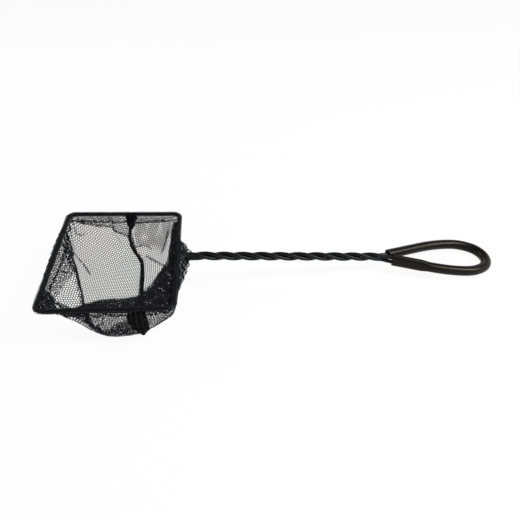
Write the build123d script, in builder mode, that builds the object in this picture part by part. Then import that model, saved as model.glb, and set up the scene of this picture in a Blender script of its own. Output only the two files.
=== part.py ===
"""Aquarium fish net: a coated wire frame with a twisted handle, a tubed loop and a sewn mesh bag.

Millimetres, +Z up. The net lies on a table at Z = 0, on the underside of its bag and the end of its loop.
The handle runs along +X and the origin is the middle of the footprint.
"""

from build123d import *
from math import asin, cos, degrees, dist, hypot, pi, radians, sin, sqrt, tan
import os

os.makedirs("parts", exist_ok=True)

# Wire: a steel core in a vinyl skin, one length for the frame, the handle and the loop
core_diameter = 2.2
coating_diameter = 3.4
core_fit = 0.05

# Mouth frame, on the wire's centre line
frame_length = 103.0
frame_width = 127.0
frame_corner_radius = 6.0

# Handle: three strands twisted together. Lengths follow each other from the frame to the end of the loop
shoulder_length = 15.9
shoulder_half_width = 14.0
twist_length = 165.3
twist_lobes = 10
twist_start_angle = 231.5
strands = 3
strand_gap = 0.52
stations_per_strand = 14
handle_bend = 1.3
cut_end_setback = 8.0
cut_end_bend = 1.0

# Loop at the end of the handle, on the wire's centre line: straight legs, a swell and a round end
leg_lead = 9.8
leg_length = 33.0
leg_angle = 17.0
swell_length = 34.0
swell_width = 5.6
round_end_length = 25.6

# Grip tube over the loop, oval where the near leg also holds the wire's tail
tube_fit = 1.3
tube_wall = 1.5
tube_stagger = 2.0
tube_clearance = 0.6
oval_fit = 0.5
oval_wall = 1.3
oval_lean = 74.0
oval_length = 25.0
tail_length = 20.0
tail_merge_length = 18.0

# Rest on the table: height of the wire's centre line where the handle leaves the frame
junction_height = 36.0

# Hem: mesh folded over the frame wire, with a flap that is sewn below it
hem_fit = 0.15
hem_wall = 0.5
hem_flap_depth = 6.0
hem_flap_thickness = 0.9
stitch_pitch = 4.0
stitch_length = 2.2
stitch_diameter = 0.5
stitch_seat = 0.02
stitch_inset = 1.0

# Bag: rim below the hem, belly further down, and a flat underside on the table, each inside the frame
bag_wall = 0.8
bag_rim_gap = 0.3
belly_front_inset = 9.0
belly_back_inset = 4.0
belly_near_inset = 3.0
belly_far_inset = 6.5
belly_radius = 14.0
belly_height = 15.0
underside_front_inset = 14.5
underside_back_inset = 12.5
underside_near_inset = 7.5
underside_far_inset = 17.5
underside_radius = 24.0
seam_width = 3.0
seam_height = 2.0
seam_gap = 0.15
seam_off_middle = 14.5
seam_angle = 8.0
tail_top_width = 14.0
tail_middle_width = 10.0
tail_foot_width = 5.0
tail_depth = 6.0
tail_proud = 1.9
tail_foot_height = 1.0
tail_gap = 0.3

# Openings of the mesh, as a plain grid that stands in for its fine cells
mesh_pitch = 11.0
mesh_rib = 2.4
underside_columns = 7
underside_rows = 9
side_wall_columns = 5
end_wall_columns = 7
wall_row_foot = 3.0
front_wall_rows = 3
other_wall_rows = 2
wall_cut = 40.0

# Sizes that follow from those above
wire_radius = coating_diameter / 2
tube_bore = coating_diameter + 2 * tube_fit
tube_radius = tube_bore / 2 + tube_wall
oval_bore_long = 2 * coating_diameter + strand_gap + 2 * oval_fit
oval_bore_short = coating_diameter + 2 * oval_fit
oval_long_radius = oval_bore_long / 2 + oval_wall
oval_short_radius = oval_bore_short / 2 + oval_wall
oval_reach = hypot(oval_long_radius * cos(radians(oval_lean)), oval_short_radius * sin(radians(oval_lean)))
leg_spread = (tube_radius + oval_reach + tube_clearance) / 2
hem_bore_radius = wire_radius + hem_fit
hem_radius = hem_bore_radius + hem_wall
flap_foot = hem_radius + hem_flap_depth
rim_depth = flap_foot + bag_rim_gap
strand_circle = (coating_diameter + strand_gap) / sqrt(3)
twist_turn = 360 * twist_lobes / strands
tail_spacing = coating_diameter + strand_gap
cut_end_drop = strand_circle + cut_end_bend

# Stations along the handle, measured from the frame
twist_end = shoulder_length + twist_length
near_tube_end = twist_end + leg_lead + tube_stagger
far_tube_end = twist_end + leg_lead
leg_end = far_tube_end + leg_length
loop_widest = leg_end + swell_length
handle_length = loop_widest + round_end_length
oval_end = near_tube_end + oval_length
tail_end = near_tube_end + tail_length
tail_merge = tail_end + tail_merge_length

# Lie of the net: the loop's end and the bag's underside touch the table
handle_slope = degrees(asin((junction_height - tube_radius) / handle_length))
frame_slope = handle_slope - handle_bend
reach_front = (frame_length + hem_radius) * cos(radians(frame_slope))
reach_back = handle_length * cos(radians(handle_slope)) + tube_radius
junction = Vector((reach_front - reach_back) / 2, 0, junction_height)


def sloped_plane(origin, slope):
    """The plane through a point that falls towards the loop by the given slope."""
    fall = radians(slope)
    return Plane(origin, x_dir=(cos(fall), 0, -sin(fall)), z_dir=(sin(fall), 0, cos(fall)))


mouth_plane = sloped_plane(junction, frame_slope)
handle_plane = sloped_plane(junction, handle_slope)


def placed(plane, along, across, up=0.0):
    """A point given along, across and up from a plane through the junction."""
    return plane.from_local_coords(Vector(along, across, up))


def headed(plane, along, across, up=0.0):
    """A unit direction given in a plane through the junction."""
    return (placed(plane, along, across, up) - plane.origin).normalized()


def strand(start_angle):
    """Stations of one twisted strand, from the frame to the loop, as points with their headings."""
    lay = strand_circle * radians(twist_turn) / twist_length
    stations = []
    for step in range(stations_per_strand + 1):
        share = step / stations_per_strand
        angle = radians(start_angle + twist_turn * share)
        along = shoulder_length + twist_length * share
        point = placed(handle_plane, along, strand_circle * cos(angle), strand_circle * sin(angle))
        stations.append((point, headed(handle_plane, 1, -lay * sin(angle), lay * cos(angle))))
    return stations


def backwards(stations):
    """The same stations, walked the other way."""
    return [(point, heading * -1) for point, heading in reversed(stations)]


def draw_run(stations):
    """Straight lines and pairs of tangent arcs through stations, for the line that is being built."""
    for (start, heading), (end, arrival) in zip(stations, stations[1:]):
        chord = end - start
        both = heading + arrival
        bend = 2 * (1 - heading.dot(arrival))
        if bend < 1e-9 and chord.cross(heading).length < 1e-6:
            Line(start, end)
            continue
        toward = chord.dot(both)
        if bend < 1e-9:
            handle = chord.dot(chord) / (2 * toward)
        else:
            handle = (sqrt(toward**2 + bend * chord.dot(chord)) - toward) / bend
        first = start + heading * handle
        second = end - arrival * handle
        middle = (first + second) / 2
        TangentArc(start, middle, tangent=heading)
        TangentArc(middle, end, tangent=second - first)


# Loop, seen from above: a straight leg, a swell and half of the round end on each side
leg_along = cos(radians(leg_angle))
leg_aside = sin(radians(leg_angle))


def leg_offset(along):
    """Distance of a straight leg from the handle's axis."""
    return leg_spread + (along - near_tube_end) * leg_aside / leg_along


def leg_station(along, side):
    """A station on the far (side 1) or near (side -1) straight leg, walked away from the handle."""
    point = placed(handle_plane, along, side * leg_offset(along))
    return point, headed(handle_plane, leg_along, side * leg_aside)


loop_half_width = leg_offset(leg_end) + swell_width
far_leg = [leg_station(far_tube_end, 1), leg_station(leg_end, 1)]
round_end = [
    (placed(handle_plane, loop_widest, loop_half_width), headed(handle_plane, 1, 0)),
    (placed(handle_plane, handle_length, 0), headed(handle_plane, 0, -1)),
    (placed(handle_plane, loop_widest, -loop_half_width), headed(handle_plane, -1, 0)),
]

# The near leg holds two wires side by side, leaning towards the inside of the loop
near_away = headed(handle_plane, leg_along, -leg_aside)
near_inward = headed(handle_plane, leg_aside, leg_along)
lean = near_inward * cos(radians(oval_lean)) + handle_plane.z_dir * sin(radians(oval_lean))


def near_wire(along, side):
    """A station in the oval part of the near leg: the loop's wire (side -1) or the tail (side 1)."""
    return leg_station(along, -1)[0] + lean * (side * tail_spacing / 2), near_away


# Past the tail the loop's wire moves to the middle of the tube, on the swell
merge_angle = radians(leg_angle * (loop_widest - tail_merge) / swell_length)
merge_inset = swell_width * ((loop_widest - tail_merge) / swell_length)**2
merge = (
    placed(handle_plane, tail_merge, merge_inset - loop_half_width),
    headed(handle_plane, cos(merge_angle), -sin(merge_angle)),
)
near_main = [near_wire(near_tube_end, -1), near_wire(tail_end, -1), merge]
near_tail = [near_wire(near_tube_end, 1), near_wire(tail_end, 1)]

# Frame, walked from the near shoulder round the leading side to the far shoulder
half_width = frame_width / 2
inner_half = half_width - frame_corner_radius
inner_front = frame_length - frame_corner_radius
frame_corners = [
    ((0, -inner_half), (0, -1)),
    ((-frame_corner_radius, -half_width), (-1, 0)),
    ((-inner_front, -half_width), (-1, 0)),
    ((-frame_length, -inner_half), (0, 1)),
    ((-frame_length, inner_half), (0, 1)),
    ((-inner_front, half_width), (1, 0)),
    ((-frame_corner_radius, half_width), (1, 0)),
    ((0, inner_half), (0, -1)),
]
frame_run = [(placed(mouth_plane, *spot), headed(mouth_plane, *way)) for spot, way in frame_corners]
near_shoulder = (placed(mouth_plane, 0, -shoulder_half_width), headed(mouth_plane, 0, -1))
far_shoulder = (placed(mouth_plane, 0, shoulder_half_width), headed(mouth_plane, 0, -1))
mouth_run = [near_shoulder, *frame_run, far_shoulder]

# The whole wire, from the cut end at the frame to the tail's cut end in the tube
strand_step = 360 / strands
end_strand = strand(twist_start_angle)
near_strand = strand(twist_start_angle - strand_step)
far_strand = strand(twist_start_angle + strand_step)
cut_end_side = strand_circle * cos(radians(twist_start_angle))
cut_end_along = shoulder_length - cut_end_setback
cut_end = (
    placed(handle_plane, cut_end_along, cut_end_side, -cut_end_drop),
    headed(handle_plane, cut_end_setback, 0, 2 * cut_end_drop),
)
wire_run = [
    cut_end,
    *end_strand,
    *far_leg,
    *round_end,
    *backwards(near_main),
    *backwards(near_strand),
    *mouth_run,
    *far_strand,
    *near_tail,
]
cut_end_plane = Plane(cut_end[0], z_dir=cut_end[1])

with BuildPart() as steel_wire:
    with BuildLine() as core_line:
        draw_run(wire_run)
    with BuildSketch(cut_end_plane):
        Circle(core_diameter / 2)
    sweep()

with BuildPart() as vinyl_coating:
    with BuildLine() as coating_line:
        draw_run(wire_run)
    with BuildSketch(cut_end_plane):
        Circle(wire_radius)
        Circle(core_diameter / 2 + core_fit, mode=Mode.SUBTRACT)
    sweep()

# Grip tube: round over the far leg and the loop, then drawn out to an oval over the near leg
tube_run = [*far_leg, *round_end, *backwards([leg_station(leg_end, -1)])]
near_round = leg_station(leg_end, -1)[0]
near_oval = leg_station(oval_end, -1)[0]
near_open = leg_station(near_tube_end, -1)[0]


def leg_plane(origin):
    """A plane square to the near leg, with its X axis along the lean of the two wires."""
    return Plane(origin, x_dir=lean, z_dir=near_away * -1)


with BuildPart() as grip_tube:
    with BuildLine() as tube_line:
        draw_run(tube_run)
    with BuildSketch(Plane(far_leg[0][0], z_dir=far_leg[0][1])):
        Circle(tube_radius)
        Circle(tube_bore / 2, mode=Mode.SUBTRACT)
    sweep()
    with BuildSketch(leg_plane(near_round)):
        Circle(tube_radius)
    with BuildSketch(leg_plane(near_oval)):
        Ellipse(oval_long_radius, oval_short_radius)
    loft()
    with BuildSketch(leg_plane(near_oval)):
        Ellipse(oval_long_radius, oval_short_radius)
    extrude(amount=(near_oval - near_open).length)
    with BuildSketch(leg_plane(near_round)):
        Circle(tube_bore / 2)
    with BuildSketch(leg_plane(near_oval)):
        Ellipse(oval_bore_long / 2, oval_bore_short / 2)
    loft(mode=Mode.SUBTRACT)
    with BuildSketch(leg_plane(near_oval)):
        Ellipse(oval_bore_long / 2, oval_bore_short / 2)
    extrude(amount=(near_oval - near_open).length, mode=Mode.SUBTRACT)

# Hem casing: a sleeve on the frame wire with a flap hanging from it, open at the handle
hem_plane = Plane(near_shoulder[0], x_dir=mouth_plane.x_dir, z_dir=near_shoulder[1])
flap_from = hem_bore_radius + hem_wall / 2
flap_middle = (flap_from + flap_foot) / 2

with BuildPart() as hem_casing:
    with BuildLine() as hem_line:
        draw_run(mouth_run)
    with BuildSketch(hem_plane):
        Circle(hem_radius)
        with Locations((0, -flap_middle)):
            Rectangle(hem_flap_thickness, flap_foot - flap_from)
        Circle(hem_bore_radius, mode=Mode.SUBTRACT)
    sweep()

# Hem stitching: short stitches on the outside of the flap, above its foot
stitch_out = hem_flap_thickness / 2 + stitch_diameter / 2 + stitch_seat
stitch_level = stitch_inset - flap_foot
sewn_sides = [
    ((0, -shoulder_half_width), (0, -inner_half), (1, 0)),
    ((-frame_corner_radius, -half_width), (-inner_front, -half_width), (0, -1)),
    ((-frame_length, -inner_half), (-frame_length, inner_half), (-1, 0)),
    ((-inner_front, half_width), (-frame_corner_radius, half_width), (0, 1)),
    ((0, inner_half), (0, shoulder_half_width), (1, 0)),
]


def stitch_places(start, end, outward):
    """Planes for the stitches along one side of the flap, with Z along the side."""
    first = placed(mouth_plane, *start, stitch_level)
    last = placed(mouth_plane, *end, stitch_level)
    aside = headed(mouth_plane, *outward)
    count = int((last - first).length / stitch_pitch)
    spots = [first + (last - first) * ((place + 0.5) / count) for place in range(count)]
    return [Plane(spot + aside * stitch_out, x_dir=aside, z_dir=last - first) for spot in spots]


with BuildPart() as hem_stitching:
    for side in sewn_sides:
        with Locations(*stitch_places(*side)):
            Cylinder(stitch_diameter / 2, stitch_length)

# Bag, as a closed form that the panels and the seam are cut from
rim_plane = mouth_plane.offset(-rim_depth)
rim_length = frame_length + hem_flap_thickness
rim_width = frame_width + hem_flap_thickness
rim_radius = frame_corner_radius + hem_flap_thickness / 2
underside_length = frame_length - underside_front_inset - underside_back_inset
underside_width = frame_width - underside_near_inset - underside_far_inset
underside_x = junction.X - underside_back_inset - underside_length / 2
underside_y = (underside_near_inset - underside_far_inset) / 2
belly_plane = sloped_plane((junction.X - frame_length / 2, 0, belly_height), frame_slope / 2)
belly_length = frame_length - belly_front_inset - belly_back_inset
belly_width = frame_width - belly_near_inset - belly_far_inset
belly_x = (belly_front_inset - belly_back_inset) / 2
belly_y = (belly_near_inset - belly_far_inset) / 2


def bag_form(grow, lift):
    """The bag's outer form, grown sideways, with its underside lifted off the table."""
    with BuildPart() as form:
        with BuildSketch(rim_plane):
            with Locations((-frame_length / 2, 0)):
                RectangleRounded(rim_length + 2 * grow, rim_width + 2 * grow, rim_radius + grow)
        with BuildSketch(belly_plane.offset(lift)):
            with Locations((belly_x, belly_y)):
                RectangleRounded(belly_length + 2 * grow, belly_width + 2 * grow, belly_radius + grow)
        with BuildSketch(Plane.XY.offset(lift)):
            with Locations((underside_x, underside_y)):
                width = underside_width + 2 * grow
                RectangleRounded(underside_length + 2 * grow, width, underside_radius + grow)
        loft(ruled=True)
    return form.part


seam_turn = radians(seam_angle)
seam_middle = seam_off_middle - frame_length / 2
seam_plane = Plane(
    (junction.X + seam_middle, 0, 0),
    x_dir=(sin(seam_turn), -cos(seam_turn), 0),
    z_dir=(-cos(seam_turn), -sin(seam_turn), 0),
)
panel_edge = seam_width / 2 + seam_gap
mesh_opening = mesh_pitch - mesh_rib


def seam_distance(x, y):
    """How far a place lies in front of the seam, level with the table."""
    return (Vector(x, y, 0) - seam_plane.origin).dot(seam_plane.z_dir)


def in_underside(x, y):
    """Whether a place lies on the flat underside, a rib's width inside its edge."""
    beyond_x = max(abs(x - underside_x) - underside_length / 2 + underside_radius, 0)
    beyond_y = max(abs(y - underside_y) - underside_width / 2 + underside_radius, 0)
    return hypot(beyond_x, beyond_y) < underside_radius - mesh_rib


def opening_corners(x, y):
    """Corners of an opening, seen from above."""
    aside = mesh_opening / 2
    return [(x + aside * i, y + aside * j) for i in (-1, 1) for j in (-1, 1)]


def grid_steps(count):
    """Places of a row of openings about its middle."""
    return [mesh_pitch * (place - (count - 1) / 2) for place in range(count)]


def panel_openings(side):
    """Places of the openings in the front (side 1) or rear (side -1) panel: underside, end wall, side walls."""

    def on_panel(x, y):
        return all(side * seam_distance(*corner) > panel_edge + mesh_rib for corner in opening_corners(x, y))

    columns = [underside_x + step for step in grid_steps(underside_columns)]
    rows = [underside_y + step for step in grid_steps(underside_rows)]
    flat = [(x, y, 0) for x in columns for y in rows
            if on_panel(x, y) and all(in_underside(*corner) for corner in opening_corners(x, y))]
    levels = [wall_row_foot + mesh_opening / 2 + mesh_pitch * row for row in range(front_wall_rows)]
    end_levels = levels if side > 0 else levels[:other_wall_rows]
    end_x = underside_x - side * underside_length / 2
    end = [(end_x, underside_y + step, z) for step in grid_steps(end_wall_columns) for z in end_levels]
    side_ys = [underside_y - underside_width / 2, underside_y + underside_width / 2]
    aside = [(underside_x + step, y, z) for step in grid_steps(side_wall_columns) for y in side_ys
             for z in levels[:other_wall_rows] if on_panel(underside_x + step, y)]
    return flat, end, aside


def cut_mesh(side):
    """Cuts a panel's openings into the part that is being built."""
    flat, end, aside = panel_openings(side)
    with Locations(*flat):
        Box(mesh_opening, mesh_opening, 4 * bag_wall, mode=Mode.SUBTRACT)
    with Locations(*end):
        Box(wall_cut, mesh_opening, mesh_opening, mode=Mode.SUBTRACT)
    with Locations(*aside):
        Box(mesh_opening, wall_cut, mesh_opening, mode=Mode.SUBTRACT)


with BuildPart() as front_panel:
    add(bag_form(0, 0))
    add(bag_form(-bag_wall, bag_wall), mode=Mode.SUBTRACT)
    split(bisect_by=seam_plane.offset(panel_edge), keep=Keep.TOP)
    cut_mesh(1)

with BuildPart() as rear_panel:
    add(bag_form(0, 0))
    add(bag_form(-bag_wall, bag_wall), mode=Mode.SUBTRACT)
    split(bisect_by=seam_plane.offset(-panel_edge), keep=Keep.BOTTOM)
    cut_mesh(-1)

with BuildPart() as bag_seam:
    add(bag_form(0, 0))
    add(bag_form(-seam_height, seam_height), mode=Mode.SUBTRACT)
    split(bisect_by=seam_plane.offset(seam_width / 2), keep=Keep.BOTTOM)
    split(bisect_by=seam_plane.offset(-seam_width / 2), keep=Keep.TOP)

# Seam tail: the bunched seam allowance, proud of the near wall where the seam comes up to the hem
tail_inward = tail_depth / 2 - tail_proud
tail_top_across = tail_inward - rim_width / 2
tail_middle_across = tail_inward + belly_near_inset - half_width
tail_foot_across = tail_inward + underside_near_inset - half_width


def seam_along(across):
    """Where the seam lies along the handle, at a place across it."""
    return seam_middle - across * tan(seam_turn)


def tail_section(width):
    """One level outline of the bunched allowance."""
    RectangleRounded(width, tail_depth, min(width, tail_depth) / 3)


with BuildPart() as seam_tail:
    with BuildSketch(rim_plane):
        with Locations((seam_along(tail_top_across), tail_top_across)):
            tail_section(tail_top_width)
    with BuildSketch(belly_plane):
        with Locations((seam_along(tail_middle_across) + frame_length / 2, tail_middle_across)):
            tail_section(tail_middle_width)
    with BuildSketch(Plane.XY.offset(tail_foot_height)):
        with Locations((junction.X + seam_along(tail_foot_across), tail_foot_across)):
            tail_section(tail_foot_width)
    loft(ruled=True)
    add(bag_form(tail_gap, 0), mode=Mode.SUBTRACT)

steel_wire.part.label = "steel_wire"
vinyl_coating.part.label = "vinyl_coating"
grip_tube.part.label = "grip_tube"
hem_casing.part.label = "hem_casing"
hem_stitching.part.label = "hem_stitching"
front_panel.part.label = "front_panel"
rear_panel.part.label = "rear_panel"
bag_seam.part.label = "bag_seam"
seam_tail.part.label = "seam_tail"

export_step(steel_wire.part, "parts/steel_wire.step")
export_step(vinyl_coating.part, "parts/vinyl_coating.step")
export_step(grip_tube.part, "parts/grip_tube.step")
export_step(hem_casing.part, "parts/hem_casing.step")
export_step(hem_stitching.part, "parts/hem_stitching.step")
export_step(front_panel.part, "parts/front_panel.step")
export_step(rear_panel.part, "parts/rear_panel.step")
export_step(bag_seam.part, "parts/bag_seam.step")
export_step(seam_tail.part, "parts/seam_tail.step")

core_run = core_line.wire()
expected = core_run.length * pi * core_diameter**2 / 4
print(f"wire length {core_run.length:.1f} mm, core volume {steel_wire.part.volume:.1f} of {expected:.1f} mm3")


def least_gap(run, diameter, step, apart):
    """The least clear distance between stretches of a wire that lie further apart along it than given."""
    count = int(run.length / step)
    spots = [tuple(run.position_at(place / count)) for place in range(count + 1)]
    skip = int(apart / step)
    pairs = ((one, two) for index, one in enumerate(spots) for two in spots[index + skip:])
    return min(dist(one, two) for one, two in pairs) - diameter


print(f"least gap between strands {least_gap(core_run, coating_diameter, 1.0, 5 * coating_diameter):.2f} mm")
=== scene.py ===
"""Looks of the aquarium fish net: a draped net bag, sewn hem and seam, coated wire and a covered loop."""
import math

import bpy
import numpy as np
from mathutils import Matrix


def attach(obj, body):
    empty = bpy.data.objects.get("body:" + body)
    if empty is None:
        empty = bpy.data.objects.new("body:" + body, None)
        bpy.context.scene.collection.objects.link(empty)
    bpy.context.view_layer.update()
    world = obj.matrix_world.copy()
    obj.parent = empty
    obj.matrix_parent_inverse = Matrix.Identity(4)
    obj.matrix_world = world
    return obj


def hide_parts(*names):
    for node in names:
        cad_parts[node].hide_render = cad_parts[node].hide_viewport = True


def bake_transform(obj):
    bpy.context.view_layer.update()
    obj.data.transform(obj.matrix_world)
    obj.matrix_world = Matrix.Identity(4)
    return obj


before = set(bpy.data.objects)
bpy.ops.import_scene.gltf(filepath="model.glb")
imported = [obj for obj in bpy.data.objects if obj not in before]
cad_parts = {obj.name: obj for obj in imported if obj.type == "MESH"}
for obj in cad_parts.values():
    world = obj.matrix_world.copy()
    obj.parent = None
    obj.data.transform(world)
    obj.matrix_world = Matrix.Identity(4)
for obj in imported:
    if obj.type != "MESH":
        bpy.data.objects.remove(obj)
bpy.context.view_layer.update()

mm = 0.001

# The mouth: a wire frame in a plane through the junction with the handle, tilted up towards the front
frame_length = 103 * mm
frame_width = 127 * mm
corner_radius = 6 * mm
corner_points = 6
frame_slope = math.radians(5.077)
junction = np.array((-90.704, 0, 36)) * mm
forward = np.array((math.cos(frame_slope), 0, -math.sin(frame_slope)))
across = np.array((0.0, 1.0, 0.0))
mouth_normal = np.array((math.sin(frame_slope), 0, math.cos(frame_slope)))

# The bag's cut: two half ovals sewn along one straight seam, with their round edges hemmed to the wire
seam_half = 88 * mm
front_depth = 100 * mm
rear_depth = 72 * mm
even_rounding = (0.45, 0.45)
skewed_rounding = (0.1, 0.85)
handle_gather = 0.33
far_seam_place = -46 * mm
near_seam_place = -28 * mm
rim_drop = 1.5 * mm
area_columns = 81
area_rows = 41

# The net itself
net_pitch = 2.2 * mm
thread_width = 0.66 * mm
thread_half_thickness = 0.13 * mm
thread_sides = 7
front_net_turn = math.radians(72)
rear_net_turn = math.radians(90)

# Route of the seam, from the far hem down the wall, along the table and up to the near hem
seam_route = np.array((
    (-137, 62, 37), (-139.5, 57, 26.4), (-142, 54, 19.2), (-141, 51, 12.8), (-136.7, 46, 6.4),
    (-132, 39.3, 2.5), (-129.1, 25.9, 1), (-127.1, -4.6, 1), (-124.5, -30, 1), (-120.5, -52, 1),
    (-119.8, -56.5, 3), (-119, -61.5, 30), (-118.8, -62.5, 36))) * mm

# Folds that the bag was laid down in: lines on the cut, and where each of them lies
front_folds = (
    (((92, 30), (79, -5), (54, -27), (40, -38)),
     ((-190, 27, 42), (-177, -7, 30), (-170, -31, 8), (-160, -48.7, 1))),
    (((0, -54), (14.5, -50), (28.5, -45.5), (40, -38)),
     ((-121.7, -54.3, 1), (-136, -57.5, 1), (-150, -55.3, 1), (-160, -48.7, 1))),
    (((80, -48), (73, -52), (62, -55), (52, -58)),
     ((-187, -44, 39), (-180, -44, 36), (-172, -45.5, 32), (-163.5, -50, 27))),
)
rear_folds = (
    (((0, -50), (10, -61), (20, -74)), ((-120.5, -54, 1), (-111, -57, 11), (-100, -60.5, 26))),
    (((60, 2), (33, -12), (6, -25)), ((-98, 4, 36), (-112, -12, 19), (-124, -26, 3))),
)

# Drape
drape_seed = 7
start_height = 1 * mm
start_unevenness = 1 * mm
calm_power = 8
seam_calm = 4
fold_points = 81
columns = 88
rows = 44
drape_steps = 1000
drape_step_time = 1 / 500
drape_gravity = 3.0
drape_speed_limit = 0.6
drape_damping = 3.0
shear_give = 0.6
bend_give = 4.0
squeeze_give = 0.6
free_give = 1e6
seam_hold = 0.25
fold_hold = 0.12
table_gap = 0.5 * mm
table_grip = 0.7
tiny = 1e-12

# Hem: a sleeve over the wire, with a flap down the inside of the cloth and a zigzag stitch at its foot
flap_depth = 8 * mm
flap_gap = 0.7 * mm
flap_rows = 13
sleeve_radius = 2.3 * mm
sleeve_start = math.radians(-70)
sleeve_end = math.radians(250)
hem_yarn_width = 0.58 * mm
hem_unevenness = 0.06
hem_wave_lengths = (31 * mm, 13 * mm, 5.3 * mm)
hem_bend_length = 2 * mm
rim_rows = 16
rim_places = 900
stitch_pitch = 1.7 * mm
stitch_radius = 0.45 * mm
stitch_inset = 1.6 * mm
stitch_swing = 1.2 * mm
stitch_lift = 0.25 * mm
stitch_fineness = 4

# Seam: a rolled core and two crossing overlock threads
seam_radius = 1.5 * mm
seam_places = 420
seam_sides = 12
seam_unevenness = 0.2
seam_wave_lengths = (9 * mm, 4.1 * mm, 2.3 * mm)
seam_table_gap = 0.2 * mm
overlock_pitch = 1.5 * mm
overlock_radius = 0.17 * mm
overlock_lift = 0.15 * mm
overlock_path_gap = 0.4 * mm
overlock_table_gap = 0.25 * mm
overlock_fineness = 10
overlock_sides = 5
overlock_lean = 0.2

# Doubled net: outlines on the cut in mm. Here and below, turns are the lattice turn of the first layer
# and the step to the next, in degrees
far_left_outline = ((68, 66), (50, 71), (31, 74), (15, 70), (9, 66), (6, 83), (36, 81), (66, 71))
far_right_outline = ((5, 86), (29, 80), (49, 69), (41, 57), (27, 48), (16, 55), (4, 60))
left_outline = ((89, 42), (74, 32), (79, 10), (82, -14), (80, -36), (90, -34), (94, 0))
foot_outline = ((1, -50), (1, -79), (11, -75), (26, -62), (35, -56), (38, -44), (28, -47), (14, -51))
foot_layers = 2
thin_thread = 0.45 * mm
double_lift = 0.7
double_layer_lift = 0.6
double_turns = (38, 27)
bag_middle_depth = 10 * mm

# Pleats: line on the cut, spread and height of the ridge, all in mm
front_pleat_lines = (
    (((95, 24), (88, 12), (79, -4), (68, -15), (54, -27), (40, -38)), 3.0, 1.5),
    (((92, 26), (84, 12), (75, -2), (64, -13)), 1.6, 1.0),
    (((68, 66), (50, 71), (31, 74), (15, 70), (9, 66)), 2.0, 1.2),
    (((82, 32), (70, 36), (58, 36), (48, 26)), 1.4, 0.8),
    (((70, 64), (66, 57), (57, 60)), 1.6, 1.0),
    (((95, -10), (88, -7), (82, -3)), 1.6, 1.0),
    (((41, -78), (38, -68), (37, -58), (38, -46), (30, -46)), 2.4, 1.4),
    (((26, -78), (30, -70), (36, -62)), 1.4, 0.8),
)
rear_pleat_lines = (
    (((2, 58), (10, 58), (17, 53)), 1.6, 1.0),
    (((10, 48), (17, 40), (30, 26), (48, 6)), 1.8, 1.2),
    (((38, 63), (31, 54), (24, 46)), 1.8, 1.2),
)
pleat_width = 4 * mm
pleat_thread = 0.95 * mm
pleat_lift = 0.4 * mm
pleat_places = 120
pleat_turn = 20

# Surplus net: its edge on the wire and its free edge, as places on the mouth in mm
near_v = -frame_width / 2 / mm
front_u = -frame_length / mm
near_fold_wire = (
    (-85, near_v), (-64, near_v), (-50, near_v), (-36, near_v), (-20, near_v), (-4, near_v + 2),
    (0, -46), (0, -10), (0, 10), (0, 24), (0, 40), (0, 56))
near_fold_free = (
    (-85, near_v + 2), (-64, -50.5), (-50, -47.5), (-36, -46.5), (-27.5, -42.5), (-20.5, -31),
    (-13.7, -15), (-7.5, -4), (-8.5, 10), (-7.5, 24), (-7.4, 40), (-6, 56))
corner_tuck_wire = ((front_u, -36), (front_u, -48), (front_u + 2, near_v + 2), (-88, near_v))
corner_tuck_free = ((-99, -38), (-93, -44), (-90, -54), (-86, -61))
near_fold_layers = 5
near_fold_width = 16 * mm
near_fold_sag = 1.5 * mm
corner_tuck_layers = 3
corner_tuck_width = 12 * mm
corner_tuck_sag = 2 * mm
fold_thread = 0.7 * mm
fold_places = 200
fold_drop = 0.6 * mm
fold_layer_drop = 0.5 * mm
fold_ripple = 1.1 * mm
fold_wave_lengths = (23 * mm, 11 * mm, 5 * mm)
fold_slant = 0.4
fold_turns = (17, 38)

# Bunched seam ends: route, widths along it and depth of the pleats, all in mm
seam_bunch_route = ((-119, -64, 36), (-119.5, -64.5, 28), (-118.5, -64, 18), (-119.5, -60, 8))
seam_bunch_widths = (14, 16.5, 13, 4)
seam_bunch_depth = 2.2
seam_bunch_folds = 4
far_bunch_route = ((-136.5, 61.5, 43), (-136.5, 61, 38), (-137.5, 59.5, 32), (-138.5, 58, 27))
far_bunch_widths = (9, 11, 9, 3)
far_bunch_depth = 1.8
far_bunch_folds = 3
bunch_face = (0, -1, 0)
bunch_thread = 1.45 * mm
bunch_places = 60
bunch_layers = 2
bunch_gather = 2
bunch_wander = 0.8
bunch_wave_lengths = (17 * mm, 7 * mm)
bunch_layer_shift = 1.3
bunch_pleat_share = 0.45
bunch_layer_drop = 0.5
bunch_turns = (11, 40)

# Net that stands out beyond an end wire: places along the wire and the reach there, in mm
junction_reach = ((-52, 0), (-43, 2.4), (-25, 6.6), (-9, 9.5), (8, 10.5), (18, 6), (23, 2.5), (28, 0))
front_reach = ((-36, 0), (-24, 2.3), (-8, 2.7), (10, 3.2), (26, 3.1), (38, 2.4), (48, 0))
junction_girth = 20 * mm
front_girth = 8 * mm
web_layers = 2
web_layer_shrink = 0.25
web_unevenness = 0.18
web_wave_lengths = (9 * mm, 4.5 * mm)
web_slant = 0.5
web_rise = 1.8 * mm
web_fall = 0.4
web_turns = (25, 33)

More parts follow.
